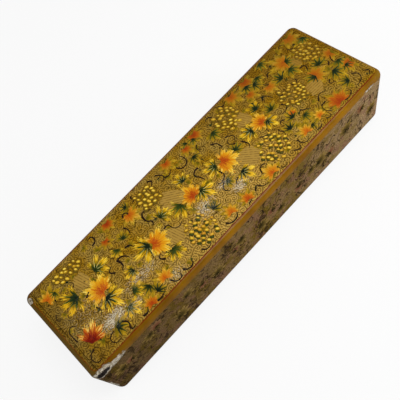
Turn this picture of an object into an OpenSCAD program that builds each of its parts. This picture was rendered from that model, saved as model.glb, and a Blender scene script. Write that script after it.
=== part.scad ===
// Qalamdan: a lacquered papier-mache pen case whose tray slides out at one end.
// The case lies along X, the tray pulls out towards -X, and Z is up.
// Origin: the middle of the footprint, on the surface that the case stands on. Millimetres.

/* [Case] */
// Overall length, with the tray's front closed
case_length = 240; // [205:1:300]
// Overall width
case_width = 70; // [60:1:90]
// Overall height
case_height = 42; // [38:1:56]
// Radius of the four upright corners, seen from above
corner_r = 4.8; // [4.5:0.1:6]
// Radius of the arrises round the top and the bottom
arris_r = 3.5; // [2:0.5:4]
// Thickness of the sleeve's pasted wall
sleeve_wall = 3; // [2.2:0.1:4]
// Radius inside the sleeve's long corners
sleeve_inner_r = 1; // [0.5:0.1:2]
// Thickness of the plate glued into the closed end
rear_t = 4; // [2.5:0.5:6]

/* [Tray] */
// Thickness of the tray's front, which closes the open end
front_t = 5; // [4:0.5:8]
// How far the front's lower edge clears the table
front_lift = 0.3; // [0.1:0.1:1]
// Seam between the tray's front and the sleeve
seam_gap = 0.3; // [0.2:0.1:0.6]
// Running gap at each side of the tray
slide_gap = 0.3; // [0.2:0.1:0.8]
// Running gap under the tray
under_gap = 0.2; // [0.1:0.1:0.5]
// Gap above the tray's raised ends, which keep it level as it comes out
over_gap = 0.6; // [0.3:0.1:1.5]
// Gap behind the tray when it is shut
back_gap = 0.8; // [0.4:0.1:0.9]
// Thickness of the tray's side and end walls
tray_wall = 2.6; // [1.8:0.1:3.5]
// Thickness of the tray's floor
tray_floor = 2.6; // [1.8:0.1:3.5]
// Height of the tray's sides, under the tray's own base to the rim
tray_side_h = 26; // [22:0.5:30]
// Length of each raised end
tray_end_len = 9; // [6:0.5:14]
// Radius of the sweep from the low sides up to the raised ends
sweep_r = 7; // [3:0.5:8]
// Radius along the foot of the tray's side walls, inside
tray_fillet = 1.5; // [0.5:0.1:2.5]
// Radius of the tray's upright corners, inside
tray_corner_r = 2; // [1:0.1:3]

/* [Partitions] */
// Thickness of the boards that part the ink bay from the pens
board_t = 2.4; // [1.6:0.1:3]
// Height of those boards above the tray's floor
board_h = 17; // [13:0.5:19]
// Slack between a board and the wall that it is glued to
glue_gap = 0.1; // [0.05:0.05:0.2]

/* [Inkwell] */
// Length of the well along the case
well_l = 33; // [28:0.5:38]
// Width of the well
well_w = 38; // [32:0.5:42]
// Height of the well's cup, without its top
cup_h = 9.5; // [8:0.5:10]
// Thickness of the cup's sheet
cup_wall = 1.2; // [0.8:0.1:2]
// Radius of the well's upright corners
well_corner_r = 4; // [2.5:0.5:6]
// Slack round the well in its bay
well_gap = 0.5; // [0.3:0.1:1]
// Thickness of the well's top plate
top_t = 1.2; // [0.8:0.1:2]
// Bore of the mouth
mouth_d = 11; // [9:0.5:13]
// Wall of the collar round the mouth
collar_wall = 1.25; // [0.8:0.05:2]
// Height of the collar above the top plate
collar_h = 1.5; // [1.2:0.1:2]

/* [Inkwell lid] */
// How far the lid reaches past the collar
lid_overhang = 0.75; // [0.4:0.05:1.2]
// Thickness of the lid
lid_t = 1.4; // [1:0.1:1.6]
// Height of the turned boss on the lid
boss_h = 0.7; // [0.4:0.1:1]
// Diameter of the turned boss on the lid
boss_d = 8; // [5:0.5:9]
// Gap between the shut lid and the collar
lid_seat_gap = 0.1; // [0.05:0.05:0.2]
// Radius of the thumb tab on the lid's free edge
tab_r = 2; // [1.5:0.1:3]
// From the lid's edge to the hinge pin's axis
hinge_reach = 2; // [1.9:0.1:3]
// Hinge pin diameter
pin_d = 1.5; // [1.2:0.1:1.8]
// Wall round the pin in each knuckle
knuckle_wall = 0.9; // [0.6:0.1:1]
// Length of the lid's knuckle along the pin
knuckle_w = 4; // [3:0.1:6]
// Thickness of each of the two ears
ear_t = 2.2; // [1.5:0.1:3]
// Side play between the lid's knuckle and each ear
ear_gap = 0.2; // [0.1:0.05:0.4]
// Radial slack of the pin in the ears
pin_seat_gap = 0.03; // [0.01:0.01:0.05]
// Radial running gap of the lid's knuckle on the pin
pin_run_gap = 0.06; // [0.04:0.01:0.1]
// How far the pin stands past each ear
pin_proud = 0.4; // [0.2:0.1:0.8]

/* [Reed pens] */
// Diameter of a reed
pen_d = 6.8; // [6:0.1:8]
// Wall of a reed at the cut end
pen_wall = 1.3; // [1:0.1:1.8]
// Part of the pen bay's length that the longest pen leaves free
pen_end_room = 26; // [16:1:40]
// How much shorter each pen is than the one before
pen_step = 5; // [2:0.5:9]
// How deep the reed is hollow from its cut end
pen_hollow = 34; // [26:1:45]
// Radius of the scooped cut behind the nib
scoop_r = 40; // [30:1:55]
// Width of the nib's tip
nib_w = 2.6; // [1.8:0.1:3.6]
// Length over which the nib narrows
nib_taper = 9; // [6:0.5:12]
// Slant of the nib's tip along the pen
nib_slant = 1.4; // [0.6:0.1:2]
// Length of the nib's slit
slit_len = 7; // [4:0.5:10]
// Width of the nib's slit
slit_w = 0.25; // [0.2:0.05:0.4]

/* [Pen knife] */
// Length of the handle
handle_len = 88; // [70:1:96]
// Largest diameter of the handle
handle_d = 6.6; // [5.6:0.1:8]
// Diameter of the handle's neck inside the ferrule
neck_d = 4.8; // [4.2:0.1:5.2]
// Length of the ferrule
ferrule_len = 7; // [5:0.5:10]
// Wall of the ferrule
ferrule_wall = 0.7; // [0.4:0.1:1]
// Length of the blade past the ferrule
blade_len = 44; // [34:1:50]
// Width of the blade at its heel
blade_w = 8; // [6:0.5:9]
// Thickness of the blade's back
blade_t = 1.3; // [1:0.1:1.8]
// Thickness left at the cutting edge
edge_t = 0.3; // [0.2:0.1:0.5]
// Length of the tang inside the handle
tang_len = 16; // [10:1:24]
// Width of the tang
tang_w = 2.4; // [2:0.1:2.8]
// Thickness of the tang
tang_t = 0.8; // [0.6:0.1:1.2]
// Slack round the tang and under the ferrule
tang_gap = 0.05; // [0.03:0.01:0.1]

/* [Nib rest] */
// Length of the plate on which a nib is cut
rest_len = 104; // [80:1:120]
// Width of the plate
rest_w = 11; // [9:0.5:13]
// Thickness of the plate
rest_t = 2.4; // [1.8:0.1:3.2]
// Length of the saddle that holds the pen
saddle_len = 20; // [14:1:28]
// Height of the saddle above the plate
saddle_h = 3; // [2.2:0.1:3.6]
// From the plate's end to the saddle
saddle_from_end = 16; // [10:1:22]

/* [Lying room] */
// Gap between things that lie side by side in the tray
item_gap = 0.8; // [0.4:0.1:1.2]
// Gap under a thing that lies loose on the tray's floor
lie_gap = 0.1; // [0.05:0.05:0.2]

/* [Hidden] */
$fn = 72;
pen_count = 3;
eps = 0.5; // overrun of cutting tools past the faces that they cut

// Case
end_x = case_length / 2;
front_back_x = -end_x + front_t;
sleeve_x0 = front_back_x + seam_gap;
bore_w = case_width - 2 * sleeve_wall;
bore_h = case_height - 2 * sleeve_wall;
rear_x0 = end_x - rear_t;

// Tray
tray_x0 = front_back_x;
tray_x1 = rear_x0 - back_gap;
tray_len = tray_x1 - tray_x0;
tray_w = bore_w - 2 * slide_gap;
tray_z0 = sleeve_wall + under_gap;
tray_end_h = bore_h - under_gap - over_gap;
floor_z = tray_z0 + tray_floor;
bay_w = tray_w - 2 * tray_wall;
bay_y = bay_w / 2;
bay_x0 = tray_x0 + tray_wall;
bay_x1 = tray_x1 - tray_wall;

// Ink bay, at the front of the tray, with the well against the +Y wall
well_x0 = bay_x0 + well_gap;
well_mid_x = well_x0 + well_l / 2;
well_mid_y = bay_y - tray_fillet - well_gap - well_w / 2;
board_x0 = well_x0 + well_l + well_gap;
side_board_y1 = well_mid_y - well_w / 2 - well_gap;
pen_bay_x0 = board_x0 + board_t;
pen_bay_len = bay_x1 - pen_bay_x0;
cup_z0 = floor_z + lie_gap;
top_z0 = cup_z0 + cup_h;
collar_z1 = top_z0 + top_t + collar_h;
collar_d = mouth_d + 2 * collar_wall;

// Inkwell lid and its hinge, whose pin runs along Y
lid_d = collar_d + 2 * lid_overhang;
lid_z0 = collar_z1 + lid_seat_gap;
hinge_x = well_mid_x - lid_d / 2 - hinge_reach;
hinge_z = lid_z0 + lid_t / 2;
knuckle_r = pin_d / 2 + pin_run_gap + knuckle_wall;
ear_y = knuckle_w / 2 + ear_gap;
pin_len = 2 * (ear_y + ear_t + pin_proud);

// Things that lie in the pen bay: pens from the +Y wall, then the knife and the rest from the -Y wall
pen_pitch = pen_d + item_gap;
pen_x0 = pen_bay_x0 + pen_end_room / 2;
pen_max_len = pen_bay_len - pen_end_room;
rest_mid_y = -bay_y + tray_fillet + item_gap + rest_w / 2;
ferrule_d = neck_d + 2 * (tang_gap + ferrule_wall);
knife_d = max(handle_d, ferrule_d, blade_w);
knife_mid_y = rest_mid_y + rest_w / 2 + item_gap + knife_d / 2;
knife_mid_z = floor_z + lie_gap + max(handle_d, ferrule_d) / 2;
knife_x0 = pen_bay_x0 + pen_end_room / 2;

// Rectangle with four round corners, centred
module round_rect(size_x, size_y, r) {
    square([size_x - 2 * r, size_y], center = true);
    square([size_x, size_y - 2 * r], center = true);
    for (sx = [-1, 1], sy = [-1, 1])
        translate([sx * (size_x / 2 - r), sy * (size_y / 2 - r)]) circle(r);
}

// Extrudes a Y-Z outline along X, from x0 to x1
module along_x(x0, x1) {
    translate([x0, 0, 0]) rotate([90, 0, 90]) linear_extrude(x1 - x0) children();
}

// Extrudes an X-Z outline along Y, centred
module along_y(width) {
    rotate([90, 0, 0]) linear_extrude(width, center = true) children();
}

// Upright corner of the case: a post whose ends are rounded like the arrises
module corner_post() {
    flat_r = max(corner_r - arris_r, eps);
    rotate_extrude() {
        square([flat_r, case_height]);
        translate([0, arris_r]) square([flat_r + arris_r, case_height - 2 * arris_r]);
        intersection() {
            union()
                for (z = [arris_r, case_height - arris_r])
                    translate([flat_r, z]) circle(arris_r);
            square([flat_r + arris_r, case_height]);
        }
    }
}

// Outer form of the shut case, between two cross-cuts at x0 and x1
module case_form(x0, x1) {
    post_r = max(corner_r - arris_r, eps) + arris_r;
    core_x = case_length / 2 - post_r;
    core_y = case_width / 2 - post_r;
    intersection() {
        union() {
            along_x(-core_x, core_x)
                translate([0, case_height / 2]) round_rect(case_width, case_height, arris_r);
            along_y(2 * core_y)
                translate([0, case_height / 2]) round_rect(case_length, case_height, arris_r);
            for (sx = [-1, 1], sy = [-1, 1])
                translate([sx * core_x, sy * core_y, 0]) corner_post();
        }
        translate([x0, -case_width, -case_height])
            cube([x1 - x0, 2 * case_width, 3 * case_height]);
    }
}

module case_sleeve() color("darkgoldenrod") {
    difference() {
        case_form(sleeve_x0, end_x + eps);
        along_x(sleeve_x0 - eps, end_x + eps)
            translate([0, case_height / 2]) round_rect(bore_w, bore_h, sleeve_inner_r);
    }
}

// Pasteboard plate glued inside the sleeve's closed end, flush with it
module rear_end_plate() color("peru") {
    plate_r = sleeve_inner_r + glue_gap;
    intersection() {
        case_form(rear_x0, end_x + eps);
        along_x(rear_x0 - eps, end_x + eps)
            translate([0, case_height / 2])
                round_rect(bore_w - 2 * glue_gap, bore_h - 2 * glue_gap, plate_r);
    }
}

// Full-section front that closes the sleeve and is gripped to pull the tray
module tray_front() color("goldenrod") {
    difference() {
        case_form(-end_x - eps, front_back_x);
        translate([-end_x - eps, -case_width, front_lift - case_height])
            cube([front_t + 2 * eps, 2 * case_width, case_height]);
    }
}

// Hollow of the tray, with filleted feet and round upright corners
module tray_hollow() {
    hollow_h = 2 * case_height;
    intersection() {
        along_x(bay_x0, bay_x1)
            translate([0, floor_z + hollow_h / 2]) round_rect(bay_w, hollow_h, tray_fillet);
        translate([(bay_x0 + bay_x1) / 2, 0, 0])
            linear_extrude(hollow_h) round_rect(bay_x1 - bay_x0, bay_w, tray_corner_r);
    }
}

// Dip that leaves the sides low and sweeps up to the raised ends
module side_dip() {
    dip_len = tray_len - 2 * tray_end_len;
    dip_h = 2 * case_height;
    translate([tray_x0 + tray_len / 2, 0, tray_z0 + tray_side_h + dip_h / 2])
        along_y(tray_w + 2 * eps) round_rect(dip_len, dip_h, sweep_r);
}

module tray_trough() color("firebrick") {
    difference() {
        along_x(tray_x0, tray_x1)
            translate([0, tray_z0 + tray_end_h / 2]) round_rect(tray_w, tray_end_h, sleeve_inner_r);
        tray_hollow();
        side_dip();
    }
}

// Board across the tray, between the ink bay and the pens
module cross_board() color("firebrick") {
    along_x(board_x0, board_x0 + board_t)
        intersection() {
            board_w = bay_w - 2 * glue_gap;
            translate([0, floor_z + board_h]) round_rect(board_w, 2 * board_h, tray_fillet + glue_gap);
            translate([-board_w / 2, floor_z]) square([board_w, board_h]);
        }
}

// Board that keeps the well in its place and leaves a small side bay
module side_board() color("firebrick") {
    board_len = board_x0 - bay_x0 - 2 * glue_gap;
    translate([bay_x0 + glue_gap, side_board_y1 - board_t, floor_z])
        cube([board_len, board_t, board_h]);
}

module inkwell_cup() color("goldenrod") {
    translate([well_mid_x, well_mid_y, cup_z0])
        difference() {
            linear_extrude(cup_h) round_rect(well_l, well_w, well_corner_r);
            translate([0, 0, cup_wall])
                linear_extrude(cup_h)
                    round_rect(well_l - 2 * cup_wall, well_w - 2 * cup_wall, well_corner_r - cup_wall);
        }
}

// Solid of revolution about the hinge pin's axis, from y0 to y1 beside the well's middle
module about_pin(y0, y1, r) {
    translate([hinge_x, well_mid_y + y1, hinge_z]) rotate([90, 0, 0]) cylinder(r = r, h = y1 - y0);
}

// One ear of the hinge: a round head on a foot that stands on the top plate
module hinge_ear(y0) {
    about_pin(y0, y0 + ear_t, knuckle_r);
    translate([hinge_x - knuckle_r, well_mid_y + y0, top_z0 + top_t])
        cube([2 * knuckle_r, ear_t, hinge_z - top_z0 - top_t]);
}

module inkwell_top() color("goldenrod") {
    difference() {
        union() {
            translate([well_mid_x, well_mid_y, top_z0]) {
                linear_extrude(top_t) round_rect(well_l, well_w, well_corner_r);
                cylinder(d = collar_d, h = top_t + collar_h);
            }
            hinge_ear(ear_y);
            hinge_ear(-ear_y - ear_t);
        }
        translate([well_mid_x, well_mid_y, top_z0 - eps])
            cylinder(d = mouth_d, h = top_t + collar_h + 2 * eps);
        about_pin(-pin_len, pin_len, pin_d / 2 + pin_seat_gap);
    }
}

module inkwell_lid() color("gold") {
    arm_len = hinge_reach + lid_overhang;
    difference() {
        union() {
            translate([well_mid_x, well_mid_y, lid_z0]) {
                cylinder(d = lid_d, h = lid_t);
                translate([0, 0, lid_t]) cylinder(d1 = boss_d, d2 = boss_d - 2 * boss_h, h = boss_h);
                translate([lid_d / 2, 0, 0]) cylinder(r = tab_r, h = lid_t);
            }
            about_pin(-knuckle_w / 2, knuckle_w / 2, knuckle_r);
            translate([hinge_x, well_mid_y - knuckle_w / 2, lid_z0])
                cube([arm_len, knuckle_w, lid_t]);
        }
        about_pin(-pin_len, pin_len, pin_d / 2 + pin_run_gap);
    }
}

module hinge_pin() color("tan") {
    about_pin(-pin_len / 2, pin_len / 2, pin_d / 2);
}

// Reed with a scooped cut, a narrowed and slit nib and a slanted tip, pointing to -X
module reed_pen(i) color("saddlebrown") {
    length = pen_max_len - (i - 1) * pen_step;
    scoop_z = -pen_d / 2 + pen_wall + scoop_r;
    translate([pen_x0, bay_y - item_gap - pen_d / 2 - (i - 1) * pen_pitch, floor_z + lie_gap + pen_d / 2])
        difference() {
            rotate([0, 90, 0]) cylinder(d = pen_d, h = length);
            translate([-eps, 0, 0])
                rotate([0, 90, 0]) cylinder(d = pen_d - 2 * pen_wall, h = pen_hollow + eps);
            translate([0, 0, scoop_z]) along_y(2 * pen_d) circle(scoop_r, $fn = 96);
            for (side = [-1, 1])
                translate([0, 0, -pen_d])
                    linear_extrude(2 * pen_d)
                        polygon([[-eps, side * nib_w / 2], [nib_taper, side * pen_d], [-eps, side * pen_d]]);
            translate([0, 0, -pen_d])
                linear_extrude(2 * pen_d)
                    polygon([[-eps, pen_d], [-eps, -pen_d], [0, -nib_w / 2], [nib_slant, nib_w / 2], [0, pen_d]]);
            translate([-eps, -slit_w / 2, -pen_d]) cube([slit_len + eps, slit_w, pen_d]);
        }
}

// Turned handle with a thin neck for the ferrule and a slot for the tang
module knife_handle() color("ivory") {
    butt_r = handle_d * 0.36;
    shoulder_r = ferrule_d / 2;
    translate([knife_x0, knife_mid_y, knife_mid_z])
        difference() {
            rotate([0, 90, 0])
                rotate_extrude()
                    polygon([
                        [0, 0], [butt_r - 1, 0], [butt_r, 1], [handle_d / 2, handle_len * 0.55],
                        [shoulder_r, handle_len - ferrule_len], [neck_d / 2, handle_len - ferrule_len],
                        [neck_d / 2, handle_len], [0, handle_len]
                    ]);
            translate([handle_len - tang_len - tang_gap, 0, 0])
                translate([0, -tang_w / 2 - tang_gap, -tang_t / 2 - tang_gap])
                    cube([tang_len + eps, tang_w + 2 * tang_gap, tang_t + 2 * tang_gap]);
        }
}

module knife_ferrule() color("goldenrod") {
    translate([knife_x0 + handle_len - ferrule_len + tang_gap, knife_mid_y, knife_mid_z])
        rotate([0, 90, 0])
            difference() {
                cylinder(d = ferrule_d, h = ferrule_len);
                translate([0, 0, -eps]) cylinder(d = neck_d + 2 * tang_gap, h = ferrule_len + 2 * eps);
            }
}

// Blade with a straight back, a belly curved up to the point, a wedge section and its tang
module knife_blade() color("silver") {
    heel_x = knife_x0 + handle_len + 2 * tang_gap;
    belly_r = (blade_len * blade_len + blade_w * blade_w) / (2 * blade_w);
    translate([heel_x, knife_mid_y, knife_mid_z]) {
        intersection() {
            translate([0, 0, -blade_t])
                linear_extrude(2 * blade_t)
                    intersection() {
                        translate([0, -blade_w / 2]) square([blade_len, blade_w]);
                        translate([0, -blade_w / 2 + belly_r]) circle(belly_r, $fn = 180);
                    }
            along_x(0, blade_len)
                polygon([
                    [blade_w / 2, blade_t / 2], [-blade_w / 2, edge_t / 2],
                    [-blade_w / 2, -edge_t / 2], [blade_w / 2, -blade_t / 2]
                ]);
        }
        translate([-tang_len, -tang_w / 2, -tang_t / 2]) cube([tang_len + eps, tang_w, tang_t]);
    }
}

// Plate on which a nib is cut, with a grooved saddle that holds the reed
module nib_rest() color("ivory") {
    rest_x0 = knife_x0;
    translate([rest_x0 + rest_len / 2, rest_mid_y, floor_z + lie_gap])
        difference() {
            union() {
                linear_extrude(rest_t) round_rect(rest_len, rest_w, rest_w * 0.4);
                translate([rest_len / 2 - saddle_from_end - saddle_len, -rest_w / 2, 0])
                    cube([saddle_len, rest_w, rest_t + saddle_h]);
            }
            translate([rest_len / 2 - saddle_from_end - saddle_len - eps, 0, rest_t + saddle_h])
                rotate([0, 90, 0]) cylinder(d = pen_d, h = saddle_len + 2 * eps);
        }
}

case_sleeve();
rear_end_plate();
tray_trough();
tray_front();
cross_board();
side_board();
inkwell_cup();
inkwell_top();
inkwell_lid();
hinge_pin();
reed_pen(1);  // reed_pen_1
reed_pen(2);  // reed_pen_2
reed_pen(3);  // reed_pen_3
knife_handle();
knife_ferrule();
knife_blade();
nib_rest();
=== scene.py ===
import math
import random

import bpy
from mathutils import Euler, Matrix, Vector


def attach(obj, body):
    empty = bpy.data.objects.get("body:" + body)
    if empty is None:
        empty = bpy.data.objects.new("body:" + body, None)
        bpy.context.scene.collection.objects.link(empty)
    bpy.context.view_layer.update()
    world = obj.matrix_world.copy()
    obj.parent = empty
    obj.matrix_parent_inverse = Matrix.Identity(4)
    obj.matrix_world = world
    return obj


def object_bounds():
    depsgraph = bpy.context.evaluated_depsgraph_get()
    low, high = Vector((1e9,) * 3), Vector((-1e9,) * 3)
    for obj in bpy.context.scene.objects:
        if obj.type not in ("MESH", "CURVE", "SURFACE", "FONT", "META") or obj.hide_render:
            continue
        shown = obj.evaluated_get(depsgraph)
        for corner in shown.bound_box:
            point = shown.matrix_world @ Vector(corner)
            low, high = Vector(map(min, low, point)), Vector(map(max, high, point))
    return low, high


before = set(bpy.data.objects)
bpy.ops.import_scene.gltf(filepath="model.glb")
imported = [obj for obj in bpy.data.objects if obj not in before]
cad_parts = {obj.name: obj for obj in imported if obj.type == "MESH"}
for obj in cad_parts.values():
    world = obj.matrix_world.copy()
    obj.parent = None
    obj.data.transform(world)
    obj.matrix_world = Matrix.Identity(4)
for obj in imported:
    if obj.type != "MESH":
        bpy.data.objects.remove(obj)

CAD_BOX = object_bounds()
MM = 0.001
draw = random.Random(7)

# Sizes of the case in millimetres, from the frame
HALF_LENGTH = CAD_BOX[1].x / MM
HALF_WIDTH = CAD_BOX[1].y / MM
HEIGHT = CAD_BOX[1].z / MM

# Camera, as the photograph was taken: from above the near long side, rolled to the left
CAMERA_PLACE = (-0.0642, -0.1424, 0.2914)
CAMERA_TURN = (23.29, 14.16, -45.43)
CAMERA_LENS = 45.1
CAMERA_SHIFT = (0.02, 0.10)

# Painted borders of the top, in millimetres from the outer faces, and the round of their corners;
# the band is narrower along the far side and at the rear end
BAND = 2.8
FAR_LESS = 1.3
REAR_LESS = 1.7
BORDER_CORNER = 6.0
RED_LINE = 0.6
BAND_DROP = 3.2
FOOT_BAND = 3.0

# Where the varnish of the top is hazy, partly rubbed and partly a painted reflection: x, y, half lengths
# along x and y, and strength
HAZE_AND_GLARE_PATCHES = [
    (-90, -18, 12, 6, 1.0), (-78, -22, 9, 5, 0.7), (13, -18, 8, 5, 0.8), (-64, -12, 16, 5, 0.6),
    (-10, -12, 10, 7, 0.75), (-49, -27, 8, 5, 0.5), (8, -10, 7, 4, 0.7), (-98, -4, 20, 16, 0.3),
]
HAZE_PATCH_DEPTH = 4

# Chips of the paint: centre and radii; the black one shows the core
CHIPS = [
    ((-115, -35, 40), (11, 4.2, 4.0)), ((-106, -36, 39.5), (11, 3.0, 3.0)), ((-118, 29, 42), (2.4, 2.8, 2)),
    ((106, -36, 39.5), (7, 1.8, 1.4)), ((35, -36, 40), (2, 1.4, 1.2)), ((-119, -35, 16), (2.2, 2.4, 14)),
    ((119, -35, 22), (1.6, 2, 14)), ((119, 35, 38), (2, 3, 3)), ((-60, 36, 40), (3, 1.6, 1.4)),
]
BLACK_CHIP = ((-114.5, -35, 39.5), (7, 2.6, 2.4))

# On the tray: just inside its outer sides, the height of the gold line on them, and the reach of spilt ink
TRAY_SIDE = 31.0
TRAY_LINE = 26.2
INK_FROM = -72.0
INK_FULL = -96.0

# Spacing of the fine brush lines on plain gold, in millimetres
HATCH_PITCH = 1.6

# Relief of the motifs, as shares of their size: how far they dip under the face, the width and height of
# their brush lines, edge dabs and veins, the length and width of a grape, and the crown of a gold fan
UNDERSIDE = 0.012
LEAF_LINE = (0.035, 0.035)
EDGE_DAB = (0.045, 0.03)
VEIN_LINE = (0.045, 0.1)
GRAPE_SHAPE = (1.35, 0.88)
FAN_CROWN = 0.006

# Ink curls: thickness at the knob and at the thin end, and height, as shares of their width; and the
# millimetres that they keep from the edge of their field
KNOB = 1.5
THIN_END = 0.55
CURL_HEIGHT = 0.3
CURL_MARGIN = 1


def srgb(red, green, blue):
    """A colour written as it looks on screen, 0 to 255, as the linear colour that shaders take."""
    def linear(value):
        value = value / 255
        return value / 12.92 if value <= 0.04045 else ((value + 0.055) / 1.055) ** 2.4
    return (linear(red), linear(green), linear(blue), 1.0)


def tones(*stops):
    """Stops of a colour ramp, each written as its place and its colour on screen."""
    return [(place, srgb(*colour)) for place, *colour in stops]


# Colours of the paints
GOLD = srgb(172, 140, 62)
# A lighter gold for a painted pool of light near the middle of the top
PAINTED_LIGHT_GOLD = srgb(208, 166, 78)
GOLD_DEEP = srgb(164, 120, 8)
SCROLL_BROWN = srgb(54, 34, 0)
OCHRE = srgb(138, 94, 0)
OCHRE_DARK = srgb(112, 72, 0)
AMBER = srgb(130, 92, 6)
# A darker brown laid over the top towards its front end
FRONT_DARK = srgb(48, 32, 6)
RED_BROWN = srgb(110, 34, 0)
SIDE_DUN = srgb(136, 108, 66)
SIDE_OLIVE = srgb(114, 90, 24)
# A lighter colour for the sides towards the rear end: painted light
SIDE_PAINTED_LIGHT = srgb(178, 150, 114)
SIDE_DARK = srgb(36, 22, 4)
SIDE_ROSE = srgb(138, 98, 76)
FOOT_OLIVE = srgb(56, 46, 24)
GESSO = srgb(196, 188, 172)
GESSO_DARK = srgb(128, 114, 90)
CORE_BLACK = srgb(24, 18, 14)
# A whitish haze: rubbed varnish and a painted reflection
HAZE_AND_GLARE = srgb(226, 214, 186)
WHITE = (1, 1, 1, 1)


# Node helpers

def put(tree, value, socket):
    """Link an output to an input, or set the input to a plain value."""
    if isinstance(value, bpy.types.NodeSocket):
        tree.links.new(value, socket)
    else:
        socket.default_value = value


def calc(tree, operation, *values):
    node = tree.nodes.new("ShaderNodeMath")
    node.operation = operation
    for value, socket in zip(values, node.inputs):
        put(tree, value, socket)
    return node.outputs[0]


def plus(tree, first, second):
    return calc(tree, "ADD", first, second)


def minus(tree, first, second):
    return calc(tree, "SUBTRACT", first, second)


def times(tree, first, second):
    return calc(tree, "MULTIPLY", first, second)


def larger(tree, first, second):
    return calc(tree, "MAXIMUM", first, second)


def largest(tree, values):
    """The largest of several values at each point."""
    total = values[0]
    for value in values[1:]:
        total = larger(tree, total, value)
    return total


def ranged(tree, low, value, span):
    """A value from 0 to 1, spread from a low end over a span."""
    return plus(tree, low, times(tree, value, span))


def swing(tree, value, span):
    """A value around one half, as a swing around zero."""
    return times(tree, minus(tree, value, 0.5), span)


def vector_calc(tree, operation, *values):
    node = tree.nodes.new("ShaderNodeVectorMath")
    node.operation = operation
    for value, socket in zip(values, node.inputs):
        put(tree, value, socket)
    return node.outputs["Value" if operation == "LENGTH" else "Vector"]


def make_vector(tree, x, y, z=0.0):
    node = tree.nodes.new("ShaderNodeCombineXYZ")
    for value, socket in zip((x, y, z), node.inputs):
        put(tree, value, socket)
    return node.outputs["Vector"]


def split(tree, vector):
    node = tree.nodes.new("ShaderNodeSeparateXYZ")
    put(tree, vector, node.inputs["Vector"])
    return node.outputs


def away_from(tree, point, centre, radii):
    """Distance from a centre, counted as 1 on the ellipsoid of these radii."""
    arm = vector_calc(tree, "DIVIDE", vector_calc(tree, "SUBTRACT", point, centre), radii)
    return vector_calc(tree, "LENGTH", arm)


def smooth(tree, value, low, high):
    """0 at the low end and 1 at the high end, eased in between; the low end may be the larger number."""
    node = tree.nodes.new("ShaderNodeMapRange")
    node.interpolation_type = "SMOOTHSTEP"
    put(tree, value, node.inputs["Value"])
    node.inputs["From Min"].default_value = low
    node.inputs["From Max"].default_value = high
    return node.outputs["Result"]


def blend_colour(tree, factor, first, second):
    node = tree.nodes.new("ShaderNodeMix")
    node.data_type = "RGBA"
    put(tree, factor, node.inputs[0])
    put(tree, first, node.inputs[6])
    put(tree, second, node.inputs[7])
    return node.outputs[2]


def tint(tree, colour, other, mask, share):
    """A colour that goes over to another by a share of a mask."""
    return blend_colour(tree, times(tree, mask, share), colour, other)


def blend_vector(tree, factor, first, second):
    node = tree.nodes.new("ShaderNodeMix")
    node.data_type = "VECTOR"
    put(tree, factor, node.inputs[0])
    put(tree, first, node.inputs[4])
    put(tree, second, node.inputs[5])
    return node.outputs[1]


def colour_ramp(tree, factor, stops):
    node = tree.nodes.new("ShaderNodeValToRGB")
    ramp = node.color_ramp
    while len(ramp.elements) < len(stops):
        ramp.elements.new(0.5)
    for element, (place, colour) in zip(ramp.elements, stops):
        element.position = place
        element.color = colour
    put(tree, factor, node.inputs["Fac"])
    return node.outputs["Color"]


def noise(tree, point, scale, detail=2.0, rough=0.5):
    node = tree.nodes.new("ShaderNodeTexNoise")
    put(tree, point, node.inputs["Vector"])
    node.inputs["Scale"].default_value = scale
    node.inputs["Detail"].default_value = detail
    node.inputs["Roughness"].default_value = rough
    return node.outputs["Fac"]


def stretched(tree, point, factors, scale, detail=2.0, rough=0.5):
    """Noise drawn out along the axes whose factors are small."""
    return noise(tree, vector_calc(tree, "MULTIPLY", point, factors), scale, detail, rough)


def bump(tree, height, distance_mm):
    node = tree.nodes.new("ShaderNodeBump")
    node.inputs["Strength"].default_value = 1.0
    node.inputs["Distance"].default_value = distance_mm * MM
    put(tree, height, node.inputs["Height"])
    return node.outputs["Normal"]


def attribute(tree, name):
    node = tree.nodes.new("ShaderNodeAttribute")
    node.attribute_name = name
    return node.outputs["Fac"]


def new_material(name):
    material = bpy.data.materials.new(name)
    material.use_nodes = True
    tree = material.node_tree
    return material, tree, tree.nodes["Principled BSDF"]


def set_surface(tree, surface, **values):
    """Link or set a shader's inputs, named with _ for each space."""
    for name, value in values.items():
        put(tree, value, surface.inputs[name.replace("_", " ")])


def object_mm(tree):
    """Object coordinates in millimetres."""
    coordinates = tree.nodes.new("ShaderNodeTexCoord")
    return vector_calc(tree, "MULTIPLY", coordinates.outputs["Object"], (1 / MM, 1 / MM, 1 / MM))


def new_group(name, inputs, outputs):
    """A shader node group with (name, kind) pairs for its sockets."""
    group = bpy.data.node_groups.new(name, "ShaderNodeTree")
    for label, kind in inputs:
        group.interface.new_socket(label, in_out="INPUT", socket_type="NodeSocket" + kind)
    for label, kind in outputs:
        group.interface.new_socket(label, in_out="OUTPUT", socket_type="NodeSocket" + kind)
    return group, group.nodes.new("NodeGroupInput").outputs, group.nodes.new("NodeGroupOutput").inputs


def use_group(tree, group, **values):
    node = tree.nodes.new("ShaderNodeGroup")
    node.node_tree = group
    for name, value in values.items():
        put(tree, value, node.inputs[name])
    return node.outputs


# Shared effects

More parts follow.
